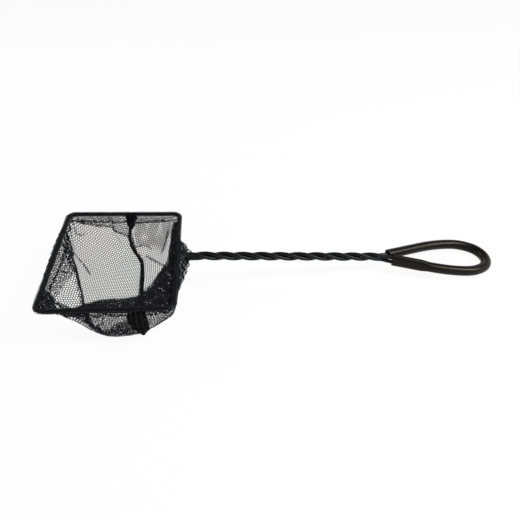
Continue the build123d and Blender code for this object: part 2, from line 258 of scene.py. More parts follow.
# Materials: noises as scale and detail, colours as the two ends that a noise runs between
ramp_ends = (0.3, 0.7)
net_colours = ((0.006, 0.0064, 0.0085), (0.012, 0.0125, 0.016))
hem_colours = ((0.005, 0.0052, 0.006), (0.01, 0.01, 0.011))
seam_colours = ((0.004, 0.0042, 0.005), (0.008, 0.008, 0.009))
sewing_colours = ((0.006, 0.006, 0.0066), (0.013, 0.013, 0.014))
dye_noise = (140, 5)
yarn_gloss_noise = (700, 3)
yarn_roughness = (0.6, 0.85)
net_ply_noise = (2600, 2)
seam_ply_noise = (2000, 2)
sewing_ply_noise = (4000, 2)
ply_strength = 0.5
ply_height = 0.08 * mm
vinyl_colours = ((0.004, 0.0043, 0.005), (0.007, 0.0073, 0.0085))
vinyl_tint = (0.95, 0.97, 1.0)
vinyl_roughness = (0.25, 0.33)
grip_colours = ((0.0045, 0.0037, 0.0029), (0.0075, 0.0062, 0.0048))
grip_tint = (1.0, 0.87, 0.74)
grip_roughness = (0.27, 0.33)
vinyl_tone_noise = (90, 4)
vinyl_gloss_noise = (220, 6)
orange_peel_noise = (900, 3)
orange_peel_height = 0.03 * mm
steel_colours = ((0.45, 0.45, 0.46), (0.6, 0.6, 0.61))
steel_roughness = (0.25, 0.5)
steel_tone_noise = (300, 5)
steel_gloss_noise = (900, 4)

# Stage
floor_size = 6.0
floor_grey = 0.9
background_share = 0.93
wall_top = 0.3
ceiling_start = 0.6
ceiling_grey = 0.1

# Lamps: place, aim and size in metres, and watts
strip_lamp = ((0.85, -0.32, 1.0), (0.05, 0, 0), (0.8, 0.4), 18)
side_lamp = ((-0.7, 0.5, 0.7), (-0.05, 0, 0), (0.5, 0.5), 3)
lamp_top = (0.0, 1.0, 0.1)

# Camera, fitted to the photograph
camera_lens = 33.43
camera_sensor = 36.0
camera_place = np.array((-39.85, -327.83, 300.93)) * mm
camera_yaw = math.radians(-3.640)
camera_height = math.radians(40.181)
camera_roll = math.radians(-2.315)
camera_clip = (0.01, 50)


# Places

def on_mouth(u, v, w=0.0):
    """Points of the mouth: u towards the handle, v to the far side, w above the wire's plane."""
    u = np.asarray(u, float)
    v = np.asarray(v, float)
    w = np.zeros_like(u) + w
    return junction + u[..., None] * forward + v[..., None] * across + w[..., None] * mouth_normal


def lengths_along(points):
    steps = np.linalg.norm(np.diff(points, axis=0), axis=1)
    return np.concatenate(([0.0], np.cumsum(steps)))


def look_up(wanted, along, table):
    """Rows of a table at these places, between the places that its own rows stand for."""
    return np.stack([np.interp(wanted, along, column) for column in table.T], axis=-1)


def at_lengths(points, wanted):
    """Points of a path at these lengths from its start."""
    return look_up(wanted, lengths_along(points), points)


def unit(vectors):
    return vectors / np.maximum(np.linalg.norm(vectors, axis=-1, keepdims=True), tiny)


def rim_stretches(front):
    """The frame's line round one panel, as (u, v): far side, end and near side, met at mid-corner."""
    half = frame_width / 2
    end = -frame_length if front else 0.0
    inward = 1.0 if front else -1.0
    angles = np.radians(np.linspace(0, 45, corner_points))
    bend_u = end + inward * corner_radius * (1 - np.sin(angles))
    bend_v = half - corner_radius * (1 - np.cos(angles))
    far_side = np.concatenate((((far_seam_place, half),), np.stack((bend_u, bend_v), axis=-1)))
    end_u = end + inward * corner_radius * (1 - np.cos(angles[::-1]))
    end_v = half - corner_radius * (1 - np.sin(angles[::-1]))
    end_half = np.stack((end_u, end_v), axis=-1)
    end_side = np.concatenate((end_half, end_half[::-1] * (1, -1)))
    near_side = np.concatenate((((near_seam_place, -half),), np.stack((bend_u, -bend_v), axis=-1)))
    return far_side, end_side, near_side


# The bag's two panels

class Panel:
    """Half of the bag: net cut to a half oval, straight edge on the seam and round edge on the wire."""

    def __init__(self, front, depth, near_rounding, end_gather, folds):
        self.front = front
        self.depth = depth
        self.near_rounding = near_rounding
        self.end_gather = end_gather
        self.folds = folds
        self.surface = None

    def rounding(self, side):
        """How much the corner on this side of the cut is drawn in, along the seam and away from it."""
        return [np.where(side < 0, near, far) for near, far in zip(self.near_rounding, even_rounding)]

    def cut(self, u, v):
        """Flat points of the cut: distance from the seam and place along it. u is -1..1, v is 0..1."""
        drawn_along, drawn_out = self.rounding(u)
        out = self.depth * v * np.sqrt(1 - drawn_out * u * u)
        along = seam_half * u * np.sqrt(1 - drawn_along * v * v)
        return np.stack((out, along), axis=-1)

    def grid_place(self, point):
        """u and v of a flat point of the cut."""
        drawn_along, drawn_out = self.rounding(point[..., 1])
        along = (point[..., 1] / seam_half) ** 2
        out = (point[..., 0] / self.depth) ** 2
        middle = 1 + drawn_out * along - drawn_along * out
        root = np.sqrt(np.maximum(middle * middle - 4 * drawn_out * along, 0))
        u_square = (middle - root) / (2 * drawn_out)
        v_square = out / np.maximum(1 - drawn_out * u_square, tiny)
        u = np.sign(point[..., 1]) * np.sqrt(np.maximum(u_square, 0))
        return u, np.sqrt(np.maximum(v_square, 0))

    def cut_area(self):
        side = np.linspace(-1, 1, area_columns)
        out = np.linspace(0, 1, area_rows)
        flat = self.cut(*np.meshgrid(side, out, indexing="ij"))
        one = flat[1:, 1:] - flat[:-1, :-1]
        two = flat[1:, :-1] - flat[:-1, 1:]
        return float(np.abs(one[..., 0] * two[..., 1] - one[..., 1] * two[..., 0]).sum() / 2)

    def rim_points(self, flat):
        """Where the three rim edges of the grid are held on the wire."""
        held = []
        edges = (flat[0], flat[:, -1], flat[-1])
        for path, edge, gather in zip(rim_stretches(self.front), edges, (0.0, self.end_gather, 0.0)):
            share = lengths_along(edge)
            share = share / share[-1]
            share = share + gather * np.sin(2 * math.pi * share) / (2 * math.pi)
            place = at_lengths(path, share * lengths_along(path)[-1])
            held.append(on_mouth(place[:, 0], place[:, 1], -rim_drop))
        return held

    def sample(self, point):
        """Points of the draped panel for flat points of its cut."""
        u, v = self.grid_place(point)
        grid = self.surface
        last_i, last_j = grid.shape[0] - 1, grid.shape[1] - 1
        fi = np.clip((1 - u) / 2, 0, 1) * last_i
        fj = np.clip(v, 0, 1) * last_j
        i = np.clip(fi.astype(int), 0, last_i - 1)
        j = np.clip(fj.astype(int), 0, last_j - 1)
        a = (fi - i)[..., None]
        b = (fj - j)[..., None]
        upper = grid[i, j] * (1 - a) + grid[i + 1, j] * a
        lower = grid[i, j + 1] * (1 - a) + grid[i + 1, j + 1] * a
        return upper * (1 - b) + lower * b

    def holds(self, point):
        u, v = self.grid_place(point)
        return (point[..., 0] > 0) & (np.abs(u) < 1) & (v < 1)


def first_lay(panel, flat, u, v, seam, chance):
    """Start of the drape: a smooth sheet between the rim and the seam, a little uneven."""
    far, end, near = panel.rim_points(flat)
    far_share = ((1 + u) / 2)[..., None]
    out = v[..., None]
    between_sides = far[None] * far_share + near[None] * (1 - far_share)
    between_seam_and_end = seam[:, None] * (1 - out) + end[:, None] * out
    corners = (seam[0] * far_share + seam[-1] * (1 - far_share)) * (1 - out)
    corners = corners + (end[0] * far_share + end[-1] * (1 - far_share)) * out
    lay = between_sides + between_seam_and_end - corners
    lay[..., 2] = np.maximum(lay[..., 2], start_height)
    loose = (1 - u ** calm_power) * (1 - v ** calm_power) * np.minimum(1, v * seam_calm)
    lay += chance.normal(0, start_unevenness, lay.shape) * loose[..., None]
    lay[0], lay[-1], lay[:, -1], lay[:, 0] = far, near, end, seam
    return lay


def threads_of(index, flat):
    """Groups of point pairs that share no point, each with its slack length and its give."""
    last_i, last_j = index.shape[0] - 1, index.shape[1] - 1
    pairs = []

    def add(a, b, give, only_against_bending=False):
        points = flat.reshape(-1, 2)
        slack = np.linalg.norm(points[a.ravel()] - points[b.ravel()], axis=-1)
        one, two = index.ravel()[a.ravel()], index.ravel()[b.ravel()]
        pairs.append((one, two, slack, give, only_against_bending))

    own = np.arange(index.size).reshape(index.shape)
    for parity in (0, 1):
        i = np.arange(parity, last_i, 2)
        j = np.arange(parity, last_j, 2)
        add(own[i], own[i + 1], 0.0)
        add(own[:, j], own[:, j + 1], 0.0)
        add(own[i][:, :-1], own[i + 1][:, 1:], shear_give)
        add(own[i][:, 1:], own[i + 1][:, :-1], shear_give)
        i = np.array([n for n in range(last_i - 1) if (n // 2) % 2 == parity])
        j = np.array([n for n in range(last_j - 1) if (n // 2) % 2 == parity])
        add(own[i], own[i + 2], bend_give, True)
        add(own[:, j], own[:, j + 2], bend_give, True)
    return pairs


def fold_targets(panel, flat, index):
    """Points of the grid that lie on the panel's folds, with the places that they are drawn to."""
    chosen = []
    targets = []
    for cut_line, place_line in panel.folds:
        cut_line = np.array(cut_line, float) * mm
        place_line = np.array(place_line, float) * mm
        knots = np.linspace(0, 1, len(cut_line))
        for share in np.linspace(0, 1, fold_points):
            nearest = ((flat - look_up(share, knots, cut_line)) ** 2).sum(-1).argmin()
            chosen.append(index.ravel()[nearest])
            targets.append(look_up(share, knots, place_line))
    chosen, first = np.unique(chosen, return_index=True)
    return chosen, np.array(targets)[first]


def pull_threads(place, free, pairs):
    """Brings each pair of points back towards its slack length, as far as its give lets it."""
    for first, second, slack, give, only_against_bending in pairs:
        apart = place[first] - place[second]
        length = np.sqrt((apart * apart).sum(1)) + tiny
        excess = length - slack
        if only_against_bending:
            yielding = np.where(excess < 0, give, free_give)
        else:
            yielding = np.where(excess < 0, give + squeeze_give, give)
        pull = apart * (-excess / ((free[first] + free[second] + yielding) * length))[:, None]
        place[first] += pull * free[first][:, None]
        place[second] -= pull * free[second][:, None]


def settle(place, free, pairs, folds, seam, seam_index):
    """Lets the points sink step by step, held by threads, seam, folds and table."""
    speed = np.zeros_like(place)
    fall = np.array((0, 0, -drape_gravity * drape_step_time))
    for _ in range(drape_steps):
        speed = (speed + fall) * (1 - drape_damping * drape_step_time)
        size = np.linalg.norm(speed, axis=1, keepdims=True)
        speed *= np.minimum(1.0, drape_speed_limit / np.maximum(size, tiny))
        before = place.copy()
        place = place + drape_step_time * speed * free[:, None]
        pull_threads(place, free, pairs)
        place[seam_index] += (seam - place[seam_index]) * seam_hold
        for chosen, target in folds:
            place[chosen] += (target - place[chosen]) * fold_hold
        low = place[:, 2] < table_gap
        place[low, 2] = table_gap
        place[low, :2] += (before[low, :2] - place[low, :2]) * table_grip
        speed = (place - before) / drape_step_time
    return place


def drape(panels):
    """Hangs both panels in the frame, sewn together, and lets them settle on the table."""
    chance = np.random.default_rng(drape_seed)
    side = np.linspace(1, -1, columns + 1)
    u, v = np.meshgrid(side, np.linspace(0, 1, rows + 1), indexing="ij")
    seam = at_lengths(seam_route, (1 - side) / 2 * lengths_along(seam_route)[-1])
    count = u.size
    front_index = np.arange(count).reshape(u.shape)
    rear_index = front_index + count
    rear_index[:, 0] = front_index[:, 0]
    place = np.zeros((2 * count, 3))
    free = np.ones(2 * count)
    pairs = []
    folds = []
    for panel, index in zip(panels, (front_index, rear_index)):
        flat = panel.cut(u, v)
        place[index] = first_lay(panel, flat, u, v, seam, chance)
        for edge in (index[0], index[-1], index[:, -1]):
            free[edge] = 0.0
        pairs += threads_of(index, flat)
        folds.append(fold_targets(panel, flat, index))
    pairs = [tuple(x[(free[p[0]] + free[p[1]]) > 0] for x in p[:3]) + p[3:] for p in pairs]
    folds = [(chosen[free[chosen] > 0], target[free[chosen] > 0]) for chosen, target in folds]
    place = settle(place, free, pairs, folds, seam, front_index[:, 0])
    for panel, index in zip(panels, (front_index, rear_index)):
        panel.surface = finer(place[index])


def finer(grid):
    """The same surface with twice as many rows and columns, on a cubic through its points."""
    for _ in range(2):
        padded = np.concatenate((2 * grid[:1] - grid[1:2], grid, 2 * grid[-1:] - grid[-2:-1]))
        between = (9 * (padded[1:-2] + padded[2:-1]) - padded[:-3] - padded[3:]) / 16
        fine = np.empty((2 * len(grid) - 1,) + grid.shape[1:])
        fine[0::2] = grid
        fine[1::2] = between
        grid = fine.swapaxes(0, 1)
    return grid


# Net and thread as meshes

def mesh_piece(name, vertices, faces, material):
    mesh = bpy.data.meshes.new(name)
    mesh.from_pydata(vertices.tolist(), [], faces.tolist())
    mesh.validate()
    mesh.shade_smooth()
    mesh.materials.append(material)
    piece = bpy.data.objects.new(name, mesh)
    bpy.context.scene.collection.objects.link(piece)
    return piece


def net_layer(length, width, place, inside=None, turn=0.0, thread=thread_width):
    """Vertices and faces of a hexagon net. place lays flat points, 0..length by 0..width, on a surface."""
    side = net_pitch / math.sqrt(3)
    reach = math.hypot(length, width) / 2 + 2 * net_pitch
    counts = (int(reach / net_pitch) + 1, int(reach / (1.5 * side)) + 1)
    i, j = np.meshgrid(np.arange(-counts[0], counts[0] + 1), np.arange(-counts[1], counts[1] + 1))
    centre_x = (i + 0.5 * (j % 2)) * net_pitch
    centre_y = j * 1.5 * side
    spin = np.array(((math.cos(turn), math.sin(turn)), (-math.sin(turn), math.cos(turn))))
    centres = np.stack((centre_x.ravel(), centre_y.ravel()), axis=-1) @ spin + (length / 2, width / 2)
    keep = (centres > 0).all(1) & (centres < (length, width)).all(1)
    if inside is not None:
        keep &= inside(centres)
    centres = centres[keep]
    angles = np.radians(30 + 60 * np.arange(6))
    hexagon = side * np.stack((np.cos(angles), np.sin(angles)), axis=-1) @ spin
    corners = centres[:, None] + hexagon
    flat_corners = corners.reshape(-1, 2)
    met_within = 0.05 * side
    _, first, knot = np.unique(np.round(flat_corners / met_within), axis=0, return_index=True,
                               return_inverse=True)
    knot = knot.reshape(-1, 6)
    knots = flat_corners[first]
    holes = centres[:, None] + hexagon * (1 - thread / net_pitch)
    step = 0.2 * net_pitch
    normals = np.cross(place(knots + (step, 0)) - place(knots - (step, 0)),
                       place(knots + (0, step)) - place(knots - (0, step)))
    normals = unit(normals)
    middle = place(knots)
    hole_points = place(holes.reshape(-1, 2))
    vertices = np.concatenate((hole_points, middle + normals * thread_half_thickness,
                               middle - normals * thread_half_thickness))
    hole = np.arange(len(hole_points)).reshape(-1, 6)
    top = len(hole_points) + knot
    under = top + len(knots)
    next_hole, next_top, next_under = (np.roll(x, -1, axis=1) for x in (hole, top, under))
    upper = np.stack((hole, top, next_top, next_hole), axis=-1).reshape(-1, 4)
    lower = np.stack((next_hole, next_under, under, hole), axis=-1).reshape(-1, 4)
    return vertices, np.concatenate((upper, lower))


def join_layers(layers):
    vertices = np.concatenate([v for v, _ in layers])
    starts = np.cumsum([0] + [len(v) for v, _ in layers[:-1]])
    return vertices, np.concatenate([f + start for (_, f), start in zip(layers, starts)])


def layered_net(name, length, width, place, layers, turns, material, thread=thread_width, inside=None):
    """One piece of several layers of net. place takes flat points and the number of the layer."""
    made = []
    for layer in range(layers):
        turn = math.radians(turns[0] + turns[1] * layer)
        made.append(net_layer(length, width, lambda point: place(point, layer), inside, turn, thread))
    return mesh_piece(name, *join_layers(made), material)


def sweep(path, radius, sides=thread_sides, closed=False):
    """Vertices and faces of a round thread along a path, a loop where closed is set and else open-ended."""
    path = np.asarray(path, float)
    radius = np.zeros(len(path)) + radius
    ahead = np.gradient(path, axis=0)
    if closed:
        ahead = np.roll(path, -1, axis=0) - np.roll(path, 1, axis=0)
    ahead = unit(ahead)
    any_direction = (0.3, 0.5, 0.8)
    side = np.cross(ahead[0], any_direction)
    ring = np.arange(sides) * 2 * math.pi / sides
    vertices = []
    for point, direction, size in zip(path, ahead, radius):
        side = side - direction * (side @ direction)
        side /= np.linalg.norm(side)
        up = np.cross(direction, side)
        vertices.append(point + size * (np.outer(np.cos(ring), side) + np.outer(np.sin(ring), up)))
    vertices = np.concatenate(vertices)
    last = len(path) if closed else len(path) - 1
    at, k = np.meshgrid(np.arange(last), np.arange(sides), indexing="ij")
    beyond = (at + 1) % len(path)
    around = (k + 1) % sides
    corners = (at * sides + k, at * sides + around, beyond * sides + around, beyond * sides + k)
    return vertices, np.stack(corners, axis=-1).reshape(-1, 4)


def smooth_path(points, count):
    """Catmull-Rom curve through the points."""
    points = np.asarray(points, float)
    ends = np.concatenate((2 * points[:1] - points[1:2], points, 2 * points[-1:] - points[-2:-1]))
    short_of_end = 1e-9
    share = np.linspace(0, len(points) - 1 - short_of_end, count)
    k = share.astype(int)
    t = (share - k)[:, None]
    a, b, c, d = (ends[k + n] for n in range(4))
    square = 2 * a - 5 * b + 4 * c - d
    cube = 3 * b - a - 3 * c + d
    return 0.5 * (2 * b + (c - a) * t + square * t ** 2 + cube * t ** 3)


def waves(x, lengths, seed):
    """A soft uneven line between about -1 and 1: sines of these wavelengths with seeded phases."""
    phases = np.random.default_rng(seed).uniform(0, 2 * math.pi, len(lengths))
    total = sum(np.sin(2 * math.pi * x / size + phase) for size, phase in zip(lengths, phases))
    return total / len(lengths) ** 0.5


# Materials

def new_material(name):
    material = bpy.data.materials.new(name)
    material.use_nodes = True
    nodes = material.node_tree.nodes
    return material, nodes, material.node_tree.links, nodes["Principled BSDF"]


def greys(values):
    return [(value, value, value) for value in values]


class Shading:
    """A material in the making, with its noises laid in the piece's own frame."""

    def __init__(self, name):
        self.material, self.nodes, self.links, self.shader = new_material(name)
        self.place = self.nodes.new("ShaderNodeTexCoord")

    def noise(self, noise):
        scale, detail = noise
        texture = self.nodes.new("ShaderNodeTexNoise")
        texture.inputs["Scale"].default_value = scale
        texture.inputs["Detail"].default_value = detail
        self.links.new(self.place.outputs["Object"], texture.inputs["Vector"])
        return texture.outputs["Fac"]

    def run_between(self, noise, colours, socket):
        """A noise that runs between two colours, joined to a socket of the shader."""
        ramp = self.nodes.new("ShaderNodeValToRGB")
        for end, position, colour in zip(ramp.color_ramp.elements, ramp_ends, colours):
            end.position = position
            end.color = (*colour, 1)
        self.links.new(self.noise(noise), ramp.inputs["Fac"])
        self.links.new(ramp.outputs["Color"], self.shader.inputs[socket])

    def bump(self, noise, strength, height):
        bump = self.nodes.new("ShaderNodeBump")
        bump.inputs["Strength"].default_value = strength
        bump.inputs["Distance"].default_value = height
        self.links.new(self.noise(noise), bump.inputs["Height"])
        self.links.new(bump.outputs["Normal"], self.shader.inputs["Normal"])


def plastic_material(name, colours, roughness, specular, tint, orange_peel):
    """Moulded or extruded vinyl: a soft gloss with handling marks and a fine orange peel."""
    shading = Shading(name)
    shading.run_between(vinyl_tone_noise, colours, "Base Color")
    shading.run_between(vinyl_gloss_noise, greys(roughness), "Roughness")
    shading.bump(orange_peel_noise, orange_peel, orange_peel_height)
    shading.shader.inputs["Specular IOR Level"].default_value = specular
    shading.shader.inputs["Specular Tint"].default_value = (*tint, 1)
    return shading.material


def yarn_material(name, colours, gloss, ply_noise):
    """Twisted synthetic yarn: matte, with a ply bump and a slightly uneven dye."""
    shading = Shading(name)
    shading.run_between(dye_noise, colours, "Base Color")
    shading.run_between(yarn_gloss_noise, greys(yarn_roughness), "Roughness")
    shading.bump(ply_noise, ply_strength, ply_height)
    shading.shader.inputs["Specular IOR Level"].default_value = gloss
    return shading.material


def steel_material():
    """Drawn steel wire, seen only at its cut ends."""
    shading = Shading("drawn_steel")
    shading.run_between(steel_tone_noise, steel_colours, "Base Color")
    shading.run_between(steel_gloss_noise, greys(steel_roughness), "Roughness")
    shading.shader.inputs["Metallic"].default_value = 1.0
    return shading.material


net_yarn = yarn_material("net_yarn", net_colours, gloss=0.12, ply_noise=net_ply_noise)
hem_yarn = yarn_material("hem_yarn", hem_colours, gloss=0.1, ply_noise=net_ply_noise)
seam_yarn = yarn_material("seam_yarn", seam_colours, gloss=0.08, ply_noise=seam_ply_noise)
sewing_yarn = yarn_material("sewing_yarn", sewing_colours, gloss=0.15, ply_noise=sewing_ply_noise)
black_vinyl = plastic_material("black_vinyl", vinyl_colours, vinyl_roughness, specular=0.16,
                               tint=vinyl_tint, orange_peel=0.06)
grip_vinyl = plastic_material("grip_vinyl", grip_colours, grip_roughness, specular=0.17,
                              tint=grip_tint, orange_peel=0.015)

for node_name, node_material in (("vinyl_coating", black_vinyl), ("grip_tube", grip_vinyl),
                                 ("steel_wire", steel_material())):
    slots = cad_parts[node_name].data.materials
    slots.clear()
    slots.append(node_material)


# The draped bag

front_panel = Panel(True, front_depth, even_rounding, 0.0, front_folds)
rear_panel = Panel(False, rear_depth, skewed_rounding, handle_gather, rear_folds)
drape((front_panel, rear_panel))
mouth_middle = -frame_length / 2


def follow_bag(piece, slot_name, *nodes):
    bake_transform(piece)
    if nodes:
        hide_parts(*nodes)


def stay_on_frame(piece, slot_name, *nodes):
    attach(piece, "frame")
    if nodes:
        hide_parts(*nodes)


def panel_net(name, panel, node, turn):
    """One panel as net: the lattice lies on the cut and is carried onto the draped surface."""
    def from_cut(point):
        return point - (0, seam_half)
    vertices, faces = net_layer(panel.depth, 2 * seam_half, lambda p: panel.sample(from_cut(p)),
                                inside=lambda p: panel.holds(from_cut(p)), turn=turn)
    piece = mesh_piece(name, vertices, faces, net_yarn)
    follow_bag(piece, "bag_mesh", node)
    panel.cut_area()


panel_net("front_net", front_panel, "front_panel", front_net_turn)
panel_net("rear_net", rear_panel, "rear_panel", rear_net_turn)


# Hem

def rim_rings(depth_count):
    """Rings of points down the cloth from the rim, each right round the mouth: front panel, then rear."""
    rings = []
    for m in range(depth_count):
        ring = []
        for panel, back in ((front_panel, False), (rear_panel, True)):
            grid = panel.surface
            last_i, last_j = grid.shape[0] - 1, grid.shape[1] - 1
            far = [(m, min(j, last_j - m)) for j in range(last_j)]
            end = [(min(max(i, m), last_i - m), last_j - m) for i in range(last_i)]
            near = [(last_i - m, min(j, last_j - m)) for j in range(last_j, 0, -1)]
            order = far + end + near
            if back:
                order = [(last_i - i, j) for i, j in order]
            ring.append(np.array([grid[place] for place in order]))
        rings.append(np.concatenate(ring))
    return np.array(rings)


class Rim:
    """The hemmed edge: places along the wire, and down the cloth below it."""

    def __init__(self, depth_count):
        rings = rim_rings(depth_count)
        rings = np.concatenate((rings, rings[:, :1]), axis=1)
        along = lengths_along(rings[0])
        self.length = along[-1]
        self.count = rim_places
        wanted = np.linspace(0, self.length, self.count + 1)
        even = np.stack([look_up(wanted, along, ring) for ring in rings], axis=1)
        down = np.linalg.norm(np.diff(even, axis=1), axis=-1)
        down = np.concatenate((np.zeros((len(down), 1)), np.cumsum(down, axis=1)), axis=1)
        self.depths = np.linspace(0, flap_depth, flap_rows)
        self.cloth = np.array([look_up(self.depths, d, points) for d, points in zip(down, even)])
        self.wire = self.cloth[:, 0] + rim_drop * mouth_normal
        ahead = np.roll(self.wire[:-1], -2, axis=0) - np.roll(self.wire[:-1], 2, axis=0)
        ahead = unit(np.concatenate((ahead, ahead[:1])))
        self.inward = np.cross(mouth_normal, ahead)

    def at(self, table, s):
        """Rows of a table of the rim at these lengths along the wire."""
        f = np.mod(s / self.length, 1) * self.count
        i = np.minimum(f.astype(int), self.count - 1)
        t = f - i
        t = t.reshape(t.shape + (1,) * (table.ndim - 1))
        return table[i] * (1 - t) + table[i + 1] * t

    def below(self, s, depth):
        """Points of the cloth at this depth below the wire."""
        column = self.at(self.cloth, s)
        f = np.clip(depth / flap_depth, 0, 1) * (len(self.depths) - 1)
        i = np.minimum(f.astype(int), len(self.depths) - 2)
        t = (f - i)[:, None]
        pick = np.arange(len(s))
        return column[pick, i] * (1 - t) + column[pick, i + 1] * t


rim = Rim(rim_rows)
sleeve_width = (sleeve_end - sleeve_start) * sleeve_radius


def hem_place(point):
    """The hem's strip: a flap up the inside of the cloth, then over the wire to its outer side."""
    s = point[:, 0]
    h = point[:, 1]
    inward = rim.at(rim.inward, s)
    wire = rim.at(rim.wire, s)
    uneven = 1 + hem_unevenness * waves(s, hem_wave_lengths, seed=3)
    flap = rim.below(s, np.maximum(flap_depth - h, 0)) + inward * flap_gap
    angle = sleeve_start + np.maximum(h - flap_depth, 0) / sleeve_radius
    reach = (sleeve_radius * uneven)[:, None]
    wrapped = wire + reach * (np.cos(angle)[:, None] * inward + np.sin(angle)[:, None] * mouth_normal)
    share = np.clip((h - flap_depth) / hem_bend_length + 0.5, 0, 1)[:, None]
    share = share * share * (3 - 2 * share)
    return flap * (1 - share) + wrapped * share


def hem_net():
    width = flap_depth + sleeve_width
    vertices, faces = net_layer(rim.length, width, hem_place, thread=hem_yarn_width)
    piece = mesh_piece("hem_net", vertices, faces, hem_yarn)
    stay_on_frame(piece, "hem_mesh", "hem_casing")


def hem_thread():
    """Zigzag stitch that holds the flap's foot to the cloth."""
    count = int(rim.length / stitch_pitch / 2) * 2
    share = np.arange(count * stitch_fineness) / stitch_fineness
    s = share * rim.length / count
    swing = 1 - np.abs(np.mod(share, 2) - 1)
    depth = flap_depth - stitch_inset + stitch_swing * swing
    path = rim.below(s, depth) + rim.at(rim.inward, s) * (flap_gap + stitch_lift)
    vertices, faces = sweep(path, stitch_radius, closed=True)
    piece = mesh_piece("hem_thread", vertices, faces, sewing_yarn)
    stay_on_frame(piece, "sewing_thread", "hem_stitching")


hem_net()
hem_thread()


# Seam

def seam_core():
    """The two panels' edges rolled together, a little lumpy."""
    line = front_panel.surface[:, 0]
    s = np.linspace(0, lengths_along(line)[-1], seam_places)
    path = at_lengths(line, s)
    radius = seam_radius * (1 + seam_unevenness * waves(s, seam_wave_lengths, seed=11))
    path[:, 2] = np.maximum(path[:, 2], radius + seam_table_gap)
    piece = mesh_piece("seam_core", *sweep(path, radius, sides=seam_sides), seam_yarn)
    follow_bag(piece, "seam_mesh", "bag_seam")


def seam_overlock():
    """Two crossing threads that bind the rolled edges."""
    line = front_panel.surface[:, 0]
    total = lengths_along(line)[-1]
    s = np.linspace(0, total, int(total / overlock_pitch * overlock_fineness))
    path = at_lengths(line, s)
    path[:, 2] = np.maximum(path[:, 2], seam_radius + overlock_path_gap)
    ahead = unit(np.gradient(path, axis=0))
    side = unit(np.cross(ahead, mouth_normal + overlock_lean * forward))
    up = np.cross(side, ahead)
    loops = []
    for hand in (1, -1):
        angle = hand * 2 * math.pi * s / overlock_pitch
        outward = np.cos(angle)[:, None] * side + np.sin(angle)[:, None] * up
        coil = path + (seam_radius + overlock_lift) * outward
        coil[:, 2] = np.maximum(coil[:, 2], overlock_table_gap)
        loops.append(sweep(coil, overlock_radius, sides=overlock_sides))
    piece = mesh_piece("seam_overlock", *join_layers(loops), sewing_yarn)
    follow_bag(piece, "sewing_thread")


seam_core()
seam_overlock()


# Folds in the bag: net that lies double, and pleats that stand up from it

bag_middle = on_mouth(mouth_middle, 0.0, -bag_middle_depth)


def above_panel(panel, point, lift):
    """Points over the draped panel, on the side of the bag's inside."""
    step = 0.5 * mm
    surface = panel.sample(point)
    normal = np.cross(panel.sample(point + (step, 0)) - panel.sample(point - (step, 0)),
                      panel.sample(point + (0, step)) - panel.sample(point - (0, step)))
    normal = unit(normal)
    inward = np.sign(((bag_middle - surface) * normal).sum(1))
    lifted = surface + normal * (inward * lift)[:, None]
    lifted[:, 2] = np.maximum(lifted[:, 2], table_gap)
    return lifted


def in_outline(point, corners):
    """Whether flat points lie inside an outline of straight edges."""
    inside = np.zeros(len(point), bool)
    for one, two in zip(corners, np.roll(corners, -1, axis=0)):
        between = (one[1] > point[:, 1]) != (two[1] > point[:, 1])
        rise = np.where(two[1] == one[1], tiny, two[1] - one[1])
        inside ^= between & (point[:, 0] < one[0] + (point[:, 1] - one[1]) * (two[0] - one[0]) / rise)
    return inside


def doubled_net(name, panel, outline, layers=1, thread=thread_width):
    """Net that lies over its own panel, inside an outline on the cut."""
    corners = np.array(outline, float) * mm
    low = corners.min(0)
    size = corners.max(0) - low

    def place(point, layer):
        return above_panel(panel, point + low, (double_lift + double_layer_lift * layer) * mm)

    def inside(point):
        return in_outline(point + low, corners)

    piece = layered_net(name, *size, place, layers, double_turns, net_yarn, thread, inside)
    follow_bag(piece, "bag_mesh")


def pleat_layer(panel, line, spread, height):
    """One pleat: a strip of net pushed together along a line on the cut, so that it stands up."""
    line = smooth_path(np.array(line, float) * mm, pleat_places)
    along = lengths_along(line)
    ahead = unit(np.gradient(line, axis=0))
    aside = np.stack((-ahead[:, 1], ahead[:, 0]), axis=-1)

    def place(point):
        s = np.clip(point[:, 0], 0, along[-1])
        t = point[:, 1] / pleat_width - 0.5
        middle = look_up(s, along, line)
        side = look_up(s, along, aside)
        fade = np.sqrt(np.clip(np.sin(math.pi * s / along[-1]), 0, 1))
        lift = pleat_lift + height * fade * (1 - 4 * t * t)
        return above_panel(panel, middle + side * (t * spread)[:, None], lift)

    turn = math.radians(pleat_turn)
    return along[-1], net_layer(along[-1], pleat_width, place, turn=turn, thread=pleat_thread)


def pleats(name, panel, lines):
    """All pleats of one panel, as one piece."""
    made = [pleat_layer(panel, line, spread * mm, height * mm) for line, spread, height in lines]
    piece = mesh_piece(name, *join_layers([layer for _, layer in made]), net_yarn)
    follow_bag(piece, "bag_mesh")


doubled_net("far_left_double", front_panel, far_left_outline, thread=thin_thread)
doubled_net("far_right_double", rear_panel, far_right_outline, thread=thin_thread)
doubled_net("left_double", front_panel, left_outline)
doubled_net("foot_double", front_panel, foot_outline, layers=foot_layers)
pleats("front_pleats", front_panel, front_pleat_lines)
pleats("rear_pleats", rear_panel, rear_pleat_lines)


# Surplus net, folded in along the near hem and gathered at the seam's ends and the end wires

